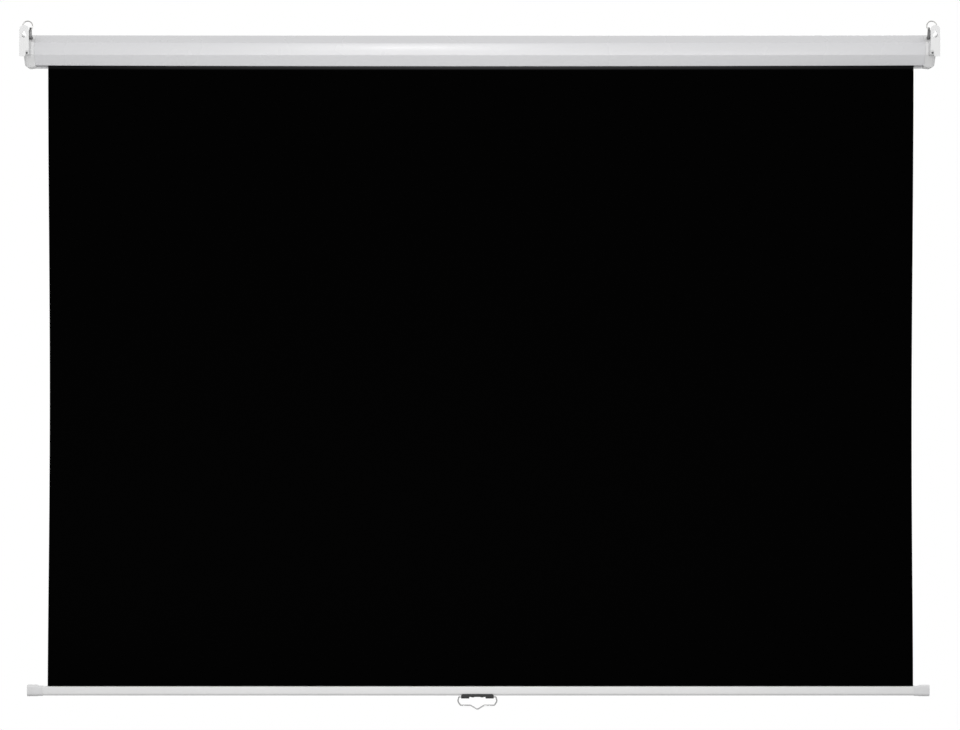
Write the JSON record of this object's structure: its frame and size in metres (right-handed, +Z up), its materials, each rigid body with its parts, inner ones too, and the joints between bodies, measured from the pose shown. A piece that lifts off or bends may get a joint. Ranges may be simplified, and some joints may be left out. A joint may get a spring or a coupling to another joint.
{
  "type": "pull down projector screen",
  "caption": "Wall or ceiling hung spring-roller projection screen, pulled down by a handle on its bottom bar, in a slim folded steel case.",
  "frame": {"origin": "on the wall, midway between the two keyholes, at the height of the wall screws in their slots", "axes": "+X along the housing, +Y away from the wall, +Z up; the screen hangs down along -Z"},
  "size_m": [1.8092, 0.088, 1.3601],
  "materials": {
    "housing_paint": "semi-gloss white powder coat on folded sheet steel",
    "bracket_paint": "semi-gloss white powder coat on bent steel",
    "cap_plastic": "fine satin moulded plastic, white-grey",
    "bar_cap_plastic": "fine satin moulded plastic, white-grey",
    "bar_paint": "semi-gloss white powder coat",
    "dark_steel": "blackened steel, satin",
    "bright_steel": "bright nickel-plated steel",
    "roller_metal": "plain drawn tube",
    "plug_plastic": "natural moulded plastic",
    "disc_brass": "machined",
    "black_plastic": "black moulded plastic, fine grain",
    "cloth": "black coated back of a matte white coated screen cloth"
  },
  "bodies": {
    "housing": {"housing_shell": "housing_paint", "wall_bracket_left": "bracket_paint", "wall_bracket_right": "bracket_paint", "end_cap_left": "cap_plastic", "end_cap_right": "cap_plastic", "ring_lug_left": "dark_steel", "ring_lug_right": "dark_steel", "lug_rivet_left": "dark_steel", "lug_rivet_right": "dark_steel", "cap_screw_left": "dark_steel", "cap_screw_right": "dark_steel", "flange_screw_left_1": "bright_steel", "flange_screw_left_2": "bright_steel", "flange_screw_right_1": "bright_steel", "flange_screw_right_2": "bright_steel", "spring_arbor": "bright_steel", "torsion_spring": "bright_steel", "idle_bush": "plug_plastic", "ratchet_disc": "disc_brass", "screen_cloth": "cloth"},
    "roller": {"roller_tube": "roller_metal", "cloth_turns": "cloth", "spring_plug": "plug_plastic", "idle_plug": "plug_plastic", "idle_pin": "bright_steel", "pawl_pin_upper": "bright_steel", "pawl_pin_lower": "bright_steel", "spring_anchor": "plug_plastic"},
    "bar": {"bottom_bar": "bar_paint", "bar_cap_left": "bar_cap_plastic", "bar_cap_right": "bar_cap_plastic", "cloth_hem": "cloth", "hem_rod": "bright_steel", "handle_holder": "black_plastic", "holder_screw_left": "black_plastic", "holder_screw_right": "black_plastic"},
    "pawl_upper": {"pawl_upper": "bright_steel"},
    "pawl_lower": {"pawl_lower": "bright_steel"},
    "handle": {"pull_handle": "bright_steel"},
    "ring_left": {"hanging_ring_left": "bright_steel"},
    "ring_right": {"hanging_ring_right": "bright_steel"}
  },
  "joints": [
    {"name": "screen_pull", "type": "slide", "parent": "housing", "child": "bar", "axis": [0, 0, 1], "range_m": [0, 1.22], "deforming": ["screen_cloth"]},
    {"name": "roller_spin", "type": "hinge", "parent": "housing", "child": "roller", "pos_m": [0, 0.06135, -0.0296], "axis": [1, 0, 0], "range_deg": [-3400, 0]},
    {"name": "pawl_upper_swing", "type": "hinge", "parent": "roller", "child": "pawl_upper", "pos_m": [-0.8701, 0.06135, -0.0171], "axis": [1, 0, 0], "range_deg": [0, 15]},
    {"name": "pawl_lower_swing", "type": "hinge", "parent": "roller", "child": "pawl_lower", "pos_m": [-0.8701, 0.06135, -0.0421], "axis": [1, 0, 0], "range_deg": [0, 15]},
    {"name": "handle_swing", "type": "hinge", "parent": "bar", "child": "handle", "pos_m": [-0.0045, 0.042, -1.3098], "axis": [1, 0, 0], "range_deg": [-85, 85]},
    {"name": "ring_left_swing", "type": "hinge", "parent": "housing", "child": "ring_left", "pos_m": [-0.8845, 0.022, 0.0064], "axis": [1, 0, 0], "range_deg": [-120, 90]},
    {"name": "ring_right_swing", "type": "hinge", "parent": "housing", "child": "ring_right", "pos_m": [0.8845, 0.022, 0.0064], "axis": [1, 0, 0], "range_deg": [-120, 90]}
  ],
  "couplings": [
    {"joint": "roller_spin", "follows": "screen_pull", "rad_per_m": -48.5}
  ]
}
